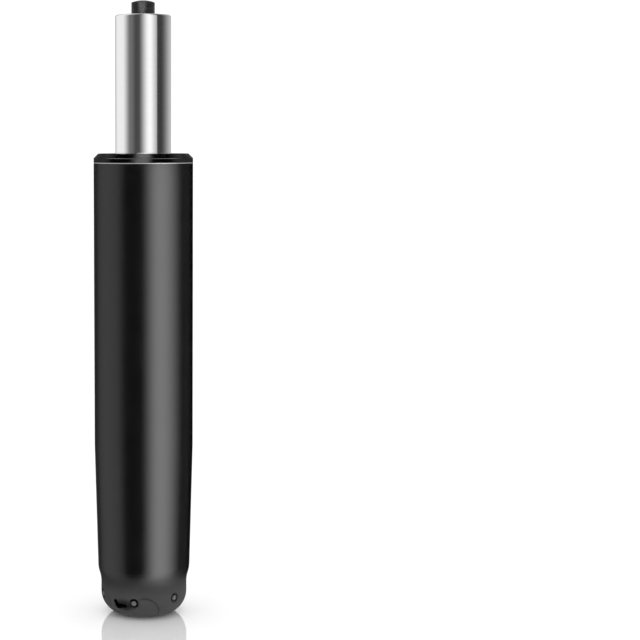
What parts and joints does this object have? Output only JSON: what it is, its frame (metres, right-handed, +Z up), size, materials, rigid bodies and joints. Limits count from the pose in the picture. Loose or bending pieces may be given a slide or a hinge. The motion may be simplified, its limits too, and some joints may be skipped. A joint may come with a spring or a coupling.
{
  "type": "chair gas lift cylinder",
  "caption": "Chair height column: a black tapered steel tube with a chromed gas spring tube rising from its collar, a release button on top and a swivel thrust bearing inside.",
  "frame": {"origin": "on the column's axis, in the plane of its flat foot", "axes": "+Z up along the column to the release button; -Y is the side that faces the camera"},
  "size_m": [0.05, 0.05, 0.3106],
  "materials": {
    "black_paint": "satin black stoved paint",
    "black_acetal": "turned satin black",
    "black_button": "moulded satin black",
    "chrome": "hard chrome, ground and polished",
    "zinc_steel": "bright zinc plate",
    "ground_steel": "ground",
    "bearing_steel": "hardened and polished",
    "spring_steel": "oil blackened",
    "cast_aluminium": "die cast, turned",
    "cage_brass": "stamped",
    "pale_plastic": "moulded",
    "rubber": "matt"
  },
  "bodies": {
    "column": {"outer_tube": "black_paint", "base_plate": "zinc_steel", "guide_sleeve": "black_acetal", "bearing_lower_race": "bearing_steel"},
    "bearing_cage": {"ball_cage": "cage_brass", "bearing_balls": "bearing_steel"},
    "rod": {"piston_rod": "ground_steel", "bearing_upper_race": "bearing_steel", "bumper_washer": "zinc_steel", "rubber_bumper": "rubber", "clip_washer": "zinc_steel", "retaining_clip": "spring_steel", "piston": "pale_plastic", "piston_o_ring": "rubber", "piston_washers": "zinc_steel", "piston_circlip": "spring_steel"},
    "lift_tube": {"pressure_tube": "chrome", "gas_cylinder": "ground_steel", "seal_washer": "zinc_steel", "rod_seal": "rubber", "rod_guide": "pale_plastic", "valve_body": "cast_aluminium", "valve_body_o_ring": "rubber", "cylinder_o_ring": "rubber", "valve_spacer": "pale_plastic", "valve_pin_o_rings": "rubber", "valve_retainer": "zinc_steel"},
    "release": {"release_button": "black_button", "valve_pin": "ground_steel"}
  },
  "joints": [
    {"name": "swivel", "type": "hinge", "parent": "column", "child": "rod", "pos_m": [0, 0, 0.0175], "axis": [0, 0, 1], "continuous": true},
    {"name": "cage_roll", "type": "hinge", "parent": "column", "child": "bearing_cage", "pos_m": [0, 0, 0.0175], "axis": [0, 0, 1], "continuous": true},
    {"name": "height_slide", "type": "slide", "parent": "rod", "child": "lift_tube", "axis": [0, 0, 1], "range_m": [-0.03, 0.07]},
    {"name": "button_press", "type": "slide", "parent": "lift_tube", "child": "release", "axis": [0, 0, -1], "range_m": [0, 0.0045], "stiffness_N_per_m": 800, "springref_m": -0.002}
  ],
  "couplings": [
    {"joint": "cage_roll", "follows": "swivel", "ratio": 0.5}
  ]
}
